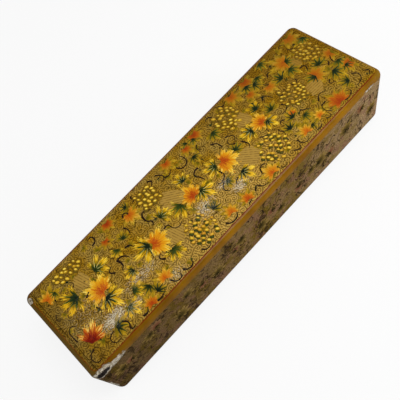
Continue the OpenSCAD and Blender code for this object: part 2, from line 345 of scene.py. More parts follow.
def make_scroll_group():
    """Fine curled strokes that fill a ground: one spiral in each cell of a scattered pattern."""
    group, given, out = new_group(
        "scroll strokes",
        [("Point", "Vector"), ("Cell", "Float"), ("Turn", "Float"), ("Edge", "Float")],
        [("Stroke", "Float")],
    )
    wobble = group.nodes.new("ShaderNodeTexNoise")
    put(group, given["Point"], wobble.inputs["Vector"])
    wobble.inputs["Scale"].default_value = 0.6
    shifted = vector_calc(group, "SCALE", wobble.outputs["Color"])
    shifted.node.inputs["Scale"].default_value = 1.7
    moved = vector_calc(group, "ADD", given["Point"], shifted)
    cell_size = make_vector(group, given["Cell"], given["Cell"], given["Cell"])
    scaled = vector_calc(group, "DIVIDE", moved, cell_size)
    cells = group.nodes.new("ShaderNodeTexVoronoi")
    cells.voronoi_dimensions = "2D"
    cells.inputs["Scale"].default_value = 1.0
    cells.inputs["Randomness"].default_value = 0.85
    put(group, scaled, cells.inputs["Vector"])
    arm = split(group, vector_calc(group, "SUBTRACT", scaled, cells.outputs["Position"]))
    turn = calc(group, "ARCTAN2", arm["Y"], arm["X"])
    reach = times(group, cells.outputs["Distance"], given["Cell"])
    swept = calc(group, "DIVIDE", times(group, reach, 2 * math.pi), given["Turn"])
    chance = group.nodes.new("ShaderNodeSeparateColor")
    put(group, cells.outputs["Color"], chance.inputs["Color"])
    hand = minus(group, times(group, calc(group, "GREATER_THAN", chance.outputs[1], 0.5), 2.0), 1.0)
    start = times(group, chance.outputs[0], 2 * math.pi)
    phase = plus(group, times(group, turn, hand), plus(group, swept, start))
    pressure = swing(group, noise(group, given["Point"], 0.7, 3.0, 0.6), 1.6)
    above = minus(group, calc(group, "SINE", phase), plus(group, given["Edge"], pressure))
    put(group, smooth(group, above, 0.0, 0.35), out["Stroke"])
    return group


def make_age_group():
    """Marks of the varnish: hazy patches, rubbed and with painted glare, mottled gloss, darker amber to the
    rear and far side, darker to the front, and a painted pool of light.
    """
    group, given, out = new_group(
        "aged varnish",
        [("Point", "Vector")],
        [("Haze_and_glare", "Float"), ("Mottle", "Float"), ("Amber", "Float"), ("Darker_front", "Float"), ("Light", "Float")],
    )
    point = given["Point"]
    # Hazy patches: rubbed varnish and a painted reflection of the lamps, broken into specks
    patches = []
    for x, y, half_x, half_y, strength in HAZE_AND_GLARE_PATCHES:
        away = away_from(group, point, (x, y, HEIGHT), (half_x, half_y, HAZE_PATCH_DEPTH))
        patches.append(times(group, smooth(group, away, 1.3, 0.2), strength))
    rubbed = largest(group, patches)
    specks = stretched(group, point, (0.8, 1.6, 1.0), 0.9, 5.0, 0.8)
    worn = smooth(group, plus(group, specks, times(group, rubbed, 0.12)), 0.55, 0.62)
    put(group, times(group, worn, rubbed), out["Haze_and_glare"])
    put(group, noise(group, point, 0.9, 3.0, 0.6), out["Mottle"])
    axes = split(group, point)
    # Darker amber towards the rear end and far side; darker towards the front end
    along = plus(group, axes["X"], swing(group, noise(group, point, 0.22, 5.0, 0.65), 90.0))
    slanted = plus(group, along, times(group, axes["Y"], 1.6))
    put(group, smooth(group, slanted, 20.0, 150.0), out["Amber"])
    put(group, smooth(group, along, -84.0, -128.0), out["Darker_front"])
    # A painted pool of light: the gold turns lighter near the middle of the top, by its near side
    from_painted_light = away_from(group, point, (-5, -22, HEIGHT), (75, 26, 8))
    put(group, smooth(group, from_painted_light, 1.2, 0.2), out["Light"])
    return group


def make_ground_group():
    """Gold ground of the top, filled with scrolls, aged, lit by a painted pool of light and hazed with
    painted glare; Flat is the point unfolded onto one plane.
    """
    group, given, out = new_group(
        "gold ground",
        [("Point", "Vector"), ("Flat", "Vector")],
        [("Colour", "Color"), ("Ink", "Float")],
    )
    flat = given["Flat"]
    stroke = use_group(group, SCROLL, Point=flat, Cell=5.2, Turn=1.35, Edge=0.1)["Stroke"]
    fine = use_group(group, SCROLL, Point=flat, Cell=1.9, Turn=0.9, Edge=0.3)["Stroke"]
    stem = use_group(group, SCROLL, Point=flat, Cell=13.0, Turn=6.0, Edge=0.84)["Stroke"]
    aged = use_group(group, AGE, Point=given["Point"])
    worn_ink = ranged(group, 0.6, smooth(group, aged["Mottle"], 0.3, 0.65), 0.4)
    fill = larger(group, stroke, times(group, fine, 0.5))
    ink = times(group, larger(group, stem, times(group, fill, 0.9)), worn_ink)
    tone = noise(group, given["Point"], 0.07, 3.0, 0.6)
    gold = blend_colour(group, smooth(group, tone, 0.3, 0.7), GOLD, GOLD_DEEP)
    # Painted light: lighter gold in a pool near the middle of the top
    gold = tint(group, gold, PAINTED_LIGHT_GOLD, aged["Light"], 0.7)
    gold = tint(group, gold, AMBER, aged["Amber"], 0.9)
    # Haze: rubbed varnish and painted reflection
    gold = tint(group, gold, HAZE_AND_GLARE, aged["Haze_and_glare"], 0.9)
    brown = tint(group, SCROLL_BROWN, HAZE_AND_GLARE, aged["Haze_and_glare"], 0.2)
    field = blend_colour(group, ink, gold, brown)
    # Darker towards the front end
    put(group, tint(group, field, FRONT_DARK, aged["Darker_front"], 0.55), out["Colour"])
    put(group, ink, out["Ink"])
    return group


SCROLL = make_scroll_group()
AGE = make_age_group()
GROUND = make_ground_group()


# Materials of the case

def chip_mask(tree, point, centre, radii, ragged):
    """How deep a point lies in a chip of the paint, 0 outside and 1 in its middle."""
    reach = plus(tree, away_from(tree, point, centre, radii), times(tree, ragged, 0.9))
    return smooth(tree, reach, 1.55, 0.75)


def wall_colour(tree, point, flat_point, ink, aged, tone, toward_front):
    """Dull painted ground of the sides and ends: lighter to the rear, which is painted light, and darker
    towards the front end.
    """
    axes = split(tree, point)
    dun = blend_colour(tree, smooth(tree, tone, 0.42, 0.62), SIDE_DUN, SIDE_OLIVE)
    # Painted light: the sides turn lighter towards the rear end
    lit_to_rear = smooth(tree, plus(tree, axes["X"], swing(tree, aged["Mottle"], 80.0)), 20.0, 130.0)
    dun = tint(tree, dun, SIDE_PAINTED_LIGHT, lit_to_rear, 0.6)
    stain = noise(tree, vector_calc(tree, "ADD", point, (40, 0, 0)), 0.16, 5.0, 0.65)
    dun = tint(tree, dun, SIDE_ROSE, smooth(tree, stain, 0.5, 0.62), 0.65)
    dun = tint(tree, dun, SIDE_OLIVE, smooth(tree, stain, 0.46, 0.34), 0.6)
    blotch = stretched(tree, point, (1.0, 1.0, 0.5), 0.16, 5.0, 0.65)
    bold = use_group(tree, SCROLL, Point=flat_point, Cell=7.0, Turn=3.2, Edge=0.45)["Stroke"]
    inked = larger(tree, times(tree, ink, 0.6), times(tree, bold, smooth(tree, blotch, 0.36, 0.62)))
    inked = larger(tree, inked, times(tree, smooth(tree, blotch, 0.53, 0.66), 0.8))
    field = blend_colour(tree, inked, dun, SIDE_DARK)
    # Darker towards the front end
    field = tint(tree, field, SIDE_DARK, toward_front, 0.5)
    return tint(tree, field, FOOT_OLIVE, calc(tree, "LESS_THAN", axes["Z"], FOOT_BAND), 0.8)


def rim_distance(tree, x, y, from_end, from_side):
    """How far in from the top's rounded rim a point lies, counted as more where the band is narrower."""
    rear_less = times(tree, calc(tree, "GREATER_THAN", x, 0.0), REAR_LESS)
    far_less = times(tree, calc(tree, "GREATER_THAN", y, 0.0), FAR_LESS)
    past_x = minus(tree, BORDER_CORNER, plus(tree, from_end, rear_less))
    past_y = minus(tree, BORDER_CORNER, plus(tree, from_side, far_less))
    corner = make_vector(tree, larger(tree, past_x, 0.0), larger(tree, past_y, 0.0))
    inner = calc(tree, "MINIMUM", larger(tree, past_x, past_y), 0.0)
    return minus(tree, BORDER_CORNER, plus(tree, vector_calc(tree, "LENGTH", corner), inner))


def painted_case():
    """Lacquered papier-mache: gold scroll ground, ochre band with a red line, dull sides, chipped corners."""
    material, tree, surface = new_material("painted_case")
    point = object_mm(tree)
    x, y, z = split(tree, point)
    from_end = minus(tree, HALF_LENGTH, calc(tree, "ABSOLUTE", x))
    from_side = minus(tree, HALF_WIDTH, calc(tree, "ABSOLUTE", y))
    on_top = calc(tree, "LESS_THAN", minus(tree, HEIGHT, z), BAND_DROP)
    on_side = calc(tree, "LESS_THAN", from_side, 1.0)
    wall_point = blend_vector(tree, on_side, make_vector(tree, y, z), make_vector(tree, x, z))
    flat_point = blend_vector(tree, on_top, wall_point, point)

    ground = use_group(tree, GROUND, Point=point, Flat=flat_point)
    aged = use_group(tree, AGE, Point=point)
    tone = noise(tree, point, 0.07, 3.0, 0.6)
    # Darker towards the front end, on the band and the sides
    toward_front = smooth(tree, x, 10.0, -130.0)
    walls = wall_colour(tree, point, flat_point, ground["Ink"], aged, tone, toward_front)
    field = blend_colour(tree, on_top, walls, ground["Colour"])

    wavering = plus(tree, rim_distance(tree, x, y, from_end, from_side), swing(tree, tone, 0.6))

    def border(extra):
        edge = BAND + extra
        return times(tree, smooth(tree, wavering, edge + 0.1, edge - 0.1), on_top)

    at_end = smooth(tree, from_end, 9.0, 3.0)
    at_rear = times(tree, at_end, calc(tree, "GREATER_THAN", x, 0.0))
    at_front = minus(tree, at_end, at_rear)
    ochre = blend_colour(tree, smooth(tree, tone, 0.3, 0.75), OCHRE, OCHRE_DARK)
    ochre = tint(tree, ochre, FRONT_DARK, toward_front, 0.4)
    ochre = tint(tree, ochre, SIDE_OLIVE, at_end, 0.6)
    ochre = tint(tree, ochre, FRONT_DARK, at_front, 0.4)
    dulled = larger(tree, times(tree, at_rear, 0.8), times(tree, aged["Darker_front"], 0.6))
    red_line = times(tree, border(RED_LINE), minus(tree, 1.0, dulled))
    shown = blend_colour(tree, red_line, field, RED_BROWN)
    shown = blend_colour(tree, border(0.0), shown, ochre)
    # Haze over the band: rubbed varnish and painted reflection
    shown = tint(tree, shown, HAZE_AND_GLARE, aged["Haze_and_glare"], 0.15)

    ragged = noise(tree, point, 0.5, 4.0, 0.65)
    chipped = largest(tree, [chip_mask(tree, point, *chip, ragged) for chip in CHIPS])
    core = chip_mask(tree, point, *BLACK_CHIP, ragged)
    crumbs = noise(tree, point, 0.8, 3.0, 0.6)
    bare = colour_ramp(tree, crumbs, [(0.3, FOOT_OLIVE), (0.42, GESSO_DARK), (0.6, GESSO)])
    bare = blend_colour(tree, smooth(tree, core, 0.3, 0.6), bare, CORE_BLACK)
    shown = blend_colour(tree, smooth(tree, chipped, 0.15, 0.5), shown, bare)

    rough = ranged(tree, 0.3, aged["Mottle"], 0.22)
    rough = plus(tree, rough, times(tree, smooth(tree, chipped, 0.1, 0.4), 0.4))
    polished = times(tree, on_top, minus(tree, 0.21, times(tree, at_end, 0.15)))
    raised = plus(tree, noise(tree, point, 0.05, 2.0), times(tree, ground["Ink"], 0.06))
    relief = minus(tree, raised, times(tree, smooth(tree, chipped, 0.1, 0.5), 0.6))
    set_surface(
        tree, surface, Base_Color=shown, Roughness=rough, Specular_IOR_Level=0.0,
        Coat_Weight=plus(tree, 0.04, polished), Coat_Roughness=0.2, Normal=bump(tree, relief, 0.6))
    return material


def tray_lacquer():
    """Red lacquer of the tray: scuffed along it, stained with ink by the well, a worn gold line outside."""
    material, tree, surface = new_material("tray_lacquer")
    point = object_mm(tree)
    x, y, z = split(tree, point)
    aged = use_group(tree, AGE, Point=point)
    tone = noise(tree, point, 0.12, 4.0, 0.6)
    colour = colour_ramp(tree, tone, tones((0.3, 100, 24, 14), (0.55, 122, 32, 18), (0.75, 136, 42, 22)))
    scuff = stretched(tree, point, (0.06, 1.6, 1.6), 1.2, 4.0, 0.65)
    colour = tint(tree, colour, srgb(160, 88, 62), smooth(tree, scuff, 0.55, 0.7), 0.4)
    spots = smooth(tree, noise(tree, point, 0.3, 4.0, 0.65), 0.54, 0.64)
    spilt = times(tree, spots, smooth(tree, x, INK_FROM, INK_FULL))
    colour = tint(tree, colour, srgb(26, 14, 12), spilt, 0.85)
    outside = calc(tree, "GREATER_THAN", calc(tree, "ABSOLUTE", y), TRAY_SIDE)
    from_line = calc(tree, "ABSOLUTE", minus(tree, z, TRAY_LINE))
    line = times(tree, smooth(tree, from_line, 0.6, 0.4), outside)
    line = times(tree, line, smooth(tree, noise(tree, point, 0.5, 4.0, 0.6), 0.36, 0.5))
    colour = blend_colour(tree, line, colour, srgb(176, 136, 52))
    set_surface(
        tree, surface, Base_Color=colour, Roughness=ranged(tree, 0.32, aged["Mottle"], 0.25),
        Specular_IOR_Level=0.3, Coat_Weight=0.12, Coat_Roughness=0.25,
        Normal=bump(tree, noise(tree, point, 0.35, 4.0), 0.12))
    return material


def old_brass():
    """Cast brass, rubbed bright in patches and brown with tarnish elsewhere, with fine brushed marks."""
    material, tree, surface = new_material("old_brass")
    point = object_mm(tree)
    tarnish = noise(tree, point, 0.22, 5.0, 0.6)
    stain = smooth(tree, noise(tree, point, 0.9, 4.0, 0.6), 0.55, 0.72)
    colour = colour_ramp(tree, tarnish, tones((0.34, 128, 92, 42), (0.5, 186, 144, 72), (0.7, 214, 176, 102)))
    colour = tint(tree, colour, srgb(84, 58, 30), stain, 0.55)
    dull = plus(tree, smooth(tree, tarnish, 0.9, 0.2), times(tree, stain, 0.2))
    brushed = stretched(tree, point, (0.3, 3.0, 0.3), 1.0, 3.0)
    set_surface(
        tree, surface, Base_Color=colour, Metallic=1.0, Roughness=ranged(tree, 0.18, dull, 0.4),
        Normal=bump(tree, brushed, 0.02))
    return material


def reed_cane():
    """Brown cane with long fibres along the pen."""
    material, tree, surface = new_material("reed_cane")
    point = object_mm(tree)
    fibre = stretched(tree, point, (0.02, 1.3, 1.3), 2.0, 4.0, 0.6)
    blotch = noise(tree, point, 0.08, 3.0)
    mixed = plus(tree, times(tree, fibre, 0.6), times(tree, blotch, 0.4))
    colour = colour_ramp(tree, mixed, tones((0.35, 70, 36, 16), (0.5, 122, 72, 34), (0.68, 168, 112, 58)))
    set_surface(
        tree, surface, Base_Color=colour, Roughness=ranged(tree, 0.3, fibre, 0.25),
        Normal=bump(tree, fibre, 0.1))
    return material


def polished_bone():
    """Pale bone with a fine grain along the piece."""
    material, tree, surface = new_material("polished_bone")
    grain = stretched(tree, object_mm(tree), (0.05, 1.0, 1.0), 2.5, 4.0, 0.6)
    stops = tones((0.3, 196, 174, 130), (0.55, 226, 212, 178), (0.75, 236, 226, 200))
    set_surface(
        tree, surface, Base_Color=colour_ramp(tree, grain, stops), Roughness=ranged(tree, 0.25, grain, 0.2),
        Normal=bump(tree, grain, 0.05))
    return material


def blade_steel():
    """Scratched steel with spots of rust."""
    material, tree, surface = new_material("blade_steel")
    point = object_mm(tree)
    scratch = stretched(tree, point, (0.1, 2.0, 2.0), 3.0, 4.0, 0.6)
    rust = smooth(tree, noise(tree, point, 0.4, 5.0, 0.7), 0.58, 0.72)
    set_surface(
        tree, surface, Base_Color=blend_colour(tree, rust, srgb(176, 174, 170), srgb(104, 74, 54)),
        Metallic=1.0, Roughness=ranged(tree, 0.25, scratch, 0.25), Normal=bump(tree, scratch, 0.03))
    return material


def brush_paint(name, stops, other_stops=None, amber=0.25, specular=0.1):
    """Paint laid in strokes, from a motif's base to its tips; a motif's tone goes over to the other stops."""
    material, tree, surface = new_material(name)
    point = object_mm(tree)
    aged = use_group(tree, AGE, Point=point)
    along = attribute(tree, "along")
    tone = attribute(tree, "tone")
    across = times(tree, attribute(tree, "fan"), 9.0)
    combed = make_vector(tree, across, times(tree, along, 2.5), times(tree, tone, 31.0))
    place = plus(tree, along, swing(tree, attribute(tree, "fleck"), 0.2))
    place = plus(tree, place, swing(tree, noise(tree, combed, 1.0, 2.0, 0.6), 1.5))
    colour = colour_ramp(tree, place, stops)
    if other_stops:
        colour = blend_colour(tree, tone, colour, colour_ramp(tree, place, other_stops))
    colour = tint(tree, colour, AMBER, aged["Amber"], amber)
    # Haze: rubbed varnish and painted reflection
    colour = tint(tree, colour, HAZE_AND_GLARE, aged["Haze_and_glare"], 0.25)
    set_surface(
        tree, surface, Base_Color=colour, Roughness=ranged(tree, 0.26, aged["Mottle"], 0.2),
        Specular_IOR_Level=specular, Normal=bump(tree, noise(tree, point, 1.3, 3.0, 0.6), 0.05))
    return material


def hatched_gold():
    """Plain gold left free of scrolls, with fine parallel brush lines, that runs out into the ground."""
    material, tree, surface = new_material("hatched_gold")
    point = object_mm(tree)
    aged = use_group(tree, AGE, Point=point)
    lines = calc(tree, "SINE", times(tree, attribute(tree, "along"), 2 * math.pi / HATCH_PITCH))
    uneven = noise(tree, point, 0.5, 3.0)
    stroke = times(tree, smooth(tree, lines, 0.2, 0.9), smooth(tree, uneven, 0.3, 0.6))
    colour = tint(tree, srgb(170, 134, 56), srgb(96, 68, 18), stroke, 0.8)
    colour = tint(tree, colour, AMBER, aged["Amber"], 0.8)
    # Haze: rubbed varnish and painted reflection
    colour = tint(tree, colour, HAZE_AND_GLARE, aged["Haze_and_glare"], 0.4)
    # Darker towards the front end
    colour = tint(tree, colour, FRONT_DARK, aged["Darker_front"], 0.5)
    ragged = swing(tree, noise(tree, point, 0.8, 4.0, 0.7), 0.9)
    inside = smooth(tree, plus(tree, attribute(tree, "rim"), ragged), 1.05, 0.9)
    ground = use_group(tree, GROUND, Point=point, Flat=point)["Colour"]
    set_surface(
        tree, surface, Base_Color=blend_colour(tree, inside, ground, colour),
        Roughness=ranged(tree, 0.3, aged["Mottle"], 0.2), Specular_IOR_Level=0.15)
    return material


# Modelling helpers

def deselect():
    bpy.ops.object.select_all(action="DESELECT")


def clamp(value, low, high):
    return max(low, min(high, value))


def set_attribute(piece, name, values):
    layer = piece.data.attributes.get(name) or piece.data.attributes.new(name, "FLOAT", "POINT")
    layer.data.foreach_set("value", values)


def mark(piece, **marks):
    """Give every vertex of a piece the same value of each named attribute."""
    for name, value in marks.items():
        set_attribute(piece, name, [value] * len(piece.data.vertices))


def join_pieces(pieces, name):
    deselect()
    for piece in pieces:
        piece.select_set(True)
    bpy.context.view_layer.objects.active = pieces[0]
    if len(pieces) > 1:
        bpy.ops.object.join()
    joined = bpy.context.view_layer.objects.active
    joined.name = name
    joined.data.name = name
    return joined


def polar(reach, angle):
    return (reach * math.cos(math.radians(angle)), reach * math.sin(math.radians(angle)))


def brush_stroke(start, angle, length, width, height):
    """One raised stroke of a loaded brush: blunt where it starts, widest at a third, drawn out to a point."""
    deselect()
    bpy.ops.mesh.primitive_uv_sphere_add(segments=6, ring_count=4, radius=0.5, rotation=(0, math.pi / 2, 0))
    piece = bpy.context.object
    bpy.ops.object.transform_apply(rotation=True, location=False, scale=False)
    for vertex in piece.data.vertices:
        share = vertex.co.x + 0.5
        pinch = 1.25 - 0.95 * share
        vertex.co = (share * length, vertex.co.y * width * pinch, vertex.co.z * height * pinch)
    turn = math.radians(angle)
    piece.data.transform(Matrix.Translation((start[0], start[1], 0)) @ Matrix.Rotation(turn, 4, "Z"))
    mark(piece, fleck=draw.random())
    return piece


def shaped_disc(outline, crown):
    """A low dome, almost flat underneath, with its outline as (angle, reach) pairs around its base point."""
    deselect()
    bpy.ops.mesh.primitive_uv_sphere_add(segments=len(outline), ring_count=6, radius=1.0)
    piece = bpy.context.object
    along = []
    fan = []
    rim = []
    for vertex in piece.data.vertices:
        share = vertex.co.xy.length
        turn = math.atan2(vertex.co.y, vertex.co.x) / (2 * math.pi) * len(outline)
        angle, reach = outline[round(turn) % len(outline)]
        height = vertex.co.z * (crown if vertex.co.z > 0 else UNDERSIDE)
        vertex.co = (*polar(reach * share, angle), height)
        along.append(reach * share)
        fan.append(angle / 40)
        rim.append(share)
    set_attribute(piece, "along", along)
    set_attribute(piece, "fan", fan)
    set_attribute(piece, "rim", rim)
    mark(piece, fleck=draw.random())
    return piece


def radiating(angle, inner, outer, place):
    """A thin brush line of one tint that runs out from the base of a leaf."""
    leaning = angle + draw.uniform(-6, 6)
    stroke = brush_stroke(polar(inner, angle), leaning, outer - inner, *LEAF_LINE)
    mark(stroke, along=place + draw.uniform(-0.15, 0.1), fan=0.0)
    return stroke


# Outlines of one lobe: place across it from edge to edge, and reach from the sinus to the tip
MAPLE_LOBE = [
    (-1.0, 0.0), (-0.72, 0.5), (-0.6, 0.32), (-0.38, 0.8), (-0.25, 0.58), (0.0, 1.0), (0.25, 0.58),
    (0.38, 0.8), (0.6, 0.32), (0.72, 0.5),
]
SLIM_LOBE = [
    (-1.0, 0.0), (-0.6, 0.34), (-0.45, 0.24), (-0.22, 0.72), (0.0, 1.0), (0.22, 0.72), (0.45, 0.24),
    (0.6, 0.34),
]


def palm_leaf(name, lobes, spread, sinus, profile, crown, pale, dark, taper=0.3):
    """A leaf of toothed lobes that fan out along +X from its base, one unit long, with brush lines."""
    outline = []
    strokes = []
    step = spread / lobes
    for index in range(lobes):
        share = (2 * index + 1) / lobes - 1
        middle = share * spread / 2 + draw.uniform(-0.1, 0.1) * step
        length = (1 - taper * share * share) * draw.uniform(0.86, 1.06)
        for across, out in profile:
            reach = length * (sinus + (1 - sinus) * out) * draw.uniform(0.94, 1.06)
            outline.append((middle + across * step / 2, reach))
        for line in range(pale):
            lean = middle + draw.uniform(-0.3, 0.3) * step
            inner = length * draw.uniform(0.45, 0.65)
            strokes.append(radiating(lean, inner, length * draw.uniform(0.8, 1.05), 1.0))
        for line in range(dark):
            lean = middle + draw.uniform(-0.4, 0.4) * step
            strokes.append(radiating(lean, 0.06, length * draw.uniform(0.35, 0.75), 0.0))
        for dab in range(pale):
            side = 1 if dab % 2 else -1
            out = draw.uniform(0.6, 0.95)
            start = polar(length * out, middle + side * (1 - out) * step * 0.7)
            lean = middle + side * draw.uniform(15, 40)
            edge = brush_stroke(start, lean, length * draw.uniform(0.12, 0.2), *EDGE_DAB)
            mark(edge, along=draw.uniform(0.5, 1.0), fan=0.0)
            strokes.append(edge)
    behind = 360 - spread
    for back in range(1, 5):
        outline.append((spread / 2 + behind * back / 5, 0.1))
    first = min(range(len(outline)), key=lambda index: abs(outline[index][0]))
    return join_pieces([shaped_disc(outline[first:] + outline[:first], crown)] + strokes, name)


def vein_lines(name, lines, spread):
    """Thin pale lines that spring from one base."""
    pieces = []
    for index in range(lines):
        angle = (2 * index / (lines - 1) - 1) * spread / 2 + draw.uniform(-6, 6)
        stroke = brush_stroke(polar(0.1, angle), angle, draw.uniform(0.6, 1.0), *VEIN_LINE)
        mark(stroke, along=0.8, fan=0.0)
        pieces.append(stroke)
    return join_pieces(pieces, name)


def grape(name, crown):
    """A raised oval dot of paint, about one unit in radius, brighter on its crown."""
    deselect()
    bpy.ops.mesh.primitive_uv_sphere_add(segments=10, ring_count=6, radius=1.0)
    piece = bpy.context.object
    piece.name = name
    set_attribute(piece, "along", [max(0.0, 1.0 - vertex.co.xy.length) for vertex in piece.data.vertices])
    mark(piece, fan=0.0, fleck=0.5)
    length, width = GRAPE_SHAPE
    for vertex in piece.data.vertices:
        vertex.co = (length * vertex.co.x, width * vertex.co.y, crown * vertex.co.z)
    return piece


def upright(x, y, turn):
    """The frame of a wall at a place, which faces -Y before its turn."""
    raised = Matrix.Rotation(math.pi / 2, 4, "X")
    return Matrix.Translation((x, y, 0)) @ Matrix.Rotation(turn, 4, "Z") @ raised


# Faces of the case that carry paint: a frame whose Z points out of the face, in millimetres
FACES = {
    "top": Matrix.Translation((0, 0, HEIGHT)),
    "near": upright(0, -HALF_WIDTH, 0),
    "far": upright(0, HALF_WIDTH, math.pi),
    "front": upright(-HALF_LENGTH, 0, -math.pi / 2),
    "rear": upright(HALF_LENGTH, 0, math.pi / 2),
}
# How far motifs may reach on each face, in millimetres: low and high along it, then across or up it
FIELDS = {
    "top": (-114.2, 116.2, -31.2, 31.2), "near": (-113.5, 115, 4, 38), "far": (-115, 113.5, 4, 38),
    "front": (-30, 30, 4, 37), "rear": (-30, 30, 4, 38),
}
TO_METRES = Matrix.Scale(MM, 4)


def lay(template, face, x, y, size, angle=0.0, tone=0.0, lift=0.0):
    """A copy of a motif, laid on a face at a place in millimetres, with its own mesh."""
    copy = template.copy()
    copy.data = template.data.copy()
    bpy.context.collection.objects.link(copy)
    turn = Matrix.Rotation(math.radians(angle), 4, "Z")
    copy.data.transform(turn @ Matrix.Scale(size, 4))
    low, high, floor, roof = FIELDS[face]
    xs = [vertex.co.x for vertex in copy.data.vertices]
    ys = [vertex.co.y for vertex in copy.data.vertices]
    x = clamp(x, low - min(xs), high - max(xs))
    y = clamp(y, floor - min(ys), roof - max(ys))
    copy.data.transform(TO_METRES @ FACES[face] @ Matrix.Translation((x, y, lift)))
    mark(copy, tone=tone)
    return copy


def tendril(face, points, width):
    """An ink curl through points in millimetres, with a knob at its start and a thin end, flattened."""
    curve = bpy.data.curves.new("tendril", "CURVE")
    curve.dimensions = "3D"
    curve.bevel_depth = width / 2
    curve.bevel_resolution = 1
    curve.resolution_u = 5
    curve.use_fill_caps = True
    spline = curve.splines.new("BEZIER")
    spline.bezier_points.add(len(points) - 1)
    low, high, floor, roof = FIELDS[face]
    for knot, place in zip(spline.bezier_points, points):
        x = clamp(place[0], low + CURL_MARGIN, high - CURL_MARGIN)
        y = clamp(place[1], floor + CURL_MARGIN, roof - CURL_MARGIN)
        knot.co = (x, y, 0)
        knot.handle_left_type = "AUTO"
        knot.handle_right_type = "AUTO"
        knot.radius = 1.0
    spline.bezier_points[0].radius = KNOB
    spline.bezier_points[-1].radius = THIN_END
    piece = bpy.data.objects.new("tendril", curve)
    bpy.context.collection.objects.link(piece)
    deselect()
    piece.select_set(True)
    bpy.context.view_layer.objects.active = piece
    bpy.ops.object.convert(target="MESH")
    piece = bpy.context.object
    for vertex in piece.data.vertices:
        vertex.co.z = vertex.co.z * CURL_HEIGHT
    mark(piece, along=0.5, fan=0.0, tone=0.0, fleck=draw.random())
    piece.data.transform(TO_METRES @ FACES[face])
    return piece


# Outline of a gold fan: angle and reach
FAN_OUTLINE = [
    (0, 0.86), (8, 1.0), (20, 0.84), (30, 0.92), (42, 0.74), (55, 0.44), (90, 0.2), (180, 0.12), (-90, 0.2),
    (-60, 0.4), (-45, 0.6), (-36, 0.88), (-24, 0.8), (-12, 0.98),
]


def hatch_fan(face, x, y, reach, angle):
    """A fan-shaped patch of plain gold, barely raised, whose brush lines run across it."""
    fan = shaped_disc(FAN_OUTLINE, FAN_CROWN)
    set_attribute(fan, "along", [reach * (vertex.co.y + 0.35 * vertex.co.x) for vertex in fan.data.vertices])
    turn = Matrix.Rotation(math.radians(angle), 4, "Z")
    place = Matrix.Translation((x, y, 0))
    fan.data.transform(TO_METRES @ FACES[face] @ place @ turn @ Matrix.Scale(reach, 4))
    return fan


def finish_piece(pieces, name, material, body="case", smooth_faces=True):
    """Join laid motifs into one piece of paint on a body."""
    piece = join_pieces(pieces, name)
    piece.data.materials.clear()
    piece.data.materials.append(material)
    piece.data.polygons.foreach_set("use_smooth", [smooth_faces] * len(piece.data.polygons))
    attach(piece, body)


# Where the motifs of the top lie, in millimetres: x, y, size, direction, and a tone where there is one
RED_LEAF = (-107, -18, 12.5, 48, 1.0)
BIG_LEAVES = [
    (-84, -1, 12.5, 115, 0.15), (-45, -4, 12.5, -20, 0.1), (-9, -1, 10.5, 112, 0.25),
    (18, 1, 11.5, -45, 0.2), (52, 0, 9.5, 125, 0.25),
]
LEAFED_SEPALS = [
    (-97, 8, 13, 170), (-85, -6, 11.5, -70), (-79, 12, 10.5, 5), (-62, 11, 6.5, 230), (-48, -2, 12, 180),
    (-31, 5, 8.5, 20), (-18, 1, 11, 205), (-4, -2, 10, -65), (13, 2, 9, 160), (-40, -15, 9.5, -95),
    (20, -13, 9, -75), (44, 1, 9, 165), (57, 9, 8, 88), (54, -2, 8, -70), (-6, 11, 7.5, 92),
    (-72, -15, 8, -30), (-80, -20, 8.5, -75), (-64, -6, 7, 190),
]
SMALL_SEPALS = [
    (95, -5, 6.5, 180), (103, -1, 7, 60), (91, 12, 7, -75), (28, 0, 6, 30), (-64, -20, 6, 210),
    (29, 20, 7, -90), (65, -13, 5.5, 100), (58, -17, 6, 80), (103, -23, 6, 140), (84, 31, 6, -90),
    (70, 23, 6, -60), (94, 18, 6.5, -40), (113, -8, 6, -100), (-8, -16, 6, 20), (104, -11, 7.5, -80),
    (66, 26, 6, 250), (62, 1, 6, 80), (83, 11, 7.5, 100), (10, -10, 5, -60), (-63, -26, 6, 20),
    (-55, 13, 5, 60), (19, 27, 5, 240), (10, 18, 5, -90), (-40, 30, 5, 130), (115, 21, 6, 230),
    (75, 25, 5.5, -100), (14, 29, 4.5, 200), (-104, 21, 5, 200), (-92, -23, 7, -40), (112, -14, 6, -90),
    (70, -17, 5, -80), (67, -25, 4, -70),
]
BLOSSOMS = [
    (-111, 21, 8, 30, 0.4), (-55, 29, 6.5, -90, 0.9), (-63, 21, 5.5, -100, 1.0), (-55, -24, 8, 80, 0.2),
    (-70, -29, 7, 80, 0.5), (-42, 22, 9, -85, 0.5), (-4, 29, 7, -95, 0.9), (21, 31, 7, -90, 0.9),
    (11, 26, 6, -90, 1.0), (-3, -26, 7, 80, 0.4), (9, -28, 6.5, 80, 0.4), (30, -30, 9, 90, 0.3),
    (55, 30, 8, -90, 0.9), (68, 30, 7, -95, 1.0), (63, 20, 6, -80, 0.9), (74, 14, 7, -90, 0.7),
    (67, -11, 4.5, 80, 0.4), (62, -26, 7, 80, 0.4), (75, -25, 6, 100, 0.3), (89, -28, 10.5, 88, 0.8),
    (109, 30, 8, -95, 1.0), (116, -1, 7, 170, 0.9), (116, -15, 7, 175, 0.7), (95, -4, 9.5, -18, 0.8),
    (93, 18, 10.5, 152, 0.6),
]
# Bunches of grapes: x, y, half lengths along x and y, and how leafy they are
GRAPE_BUNCHES = [
    (-92, 25, 11, 5, 0), (-27, 21, 6.5, 8, 0), (-21, -19, 9, 9, 0.9), (42, 20, 7.5, 9, 0),
    (43, -17, 8.5, 9, 0.6), (78, -2, 8, 7, 0.3), (107, 12, 6.5, 7, 0),
]
# Fans of plain gold: x, y, reach and direction
HATCH_FANS = [
    (-86, 9, 12, 125), (-12, 5, 16, 160), (-36, -5, 13, -58), (24, -6, 15, -30), (50, 7, 12, 130),
    (94, -8, 12, -165), (98, 9, 9, 110),
]
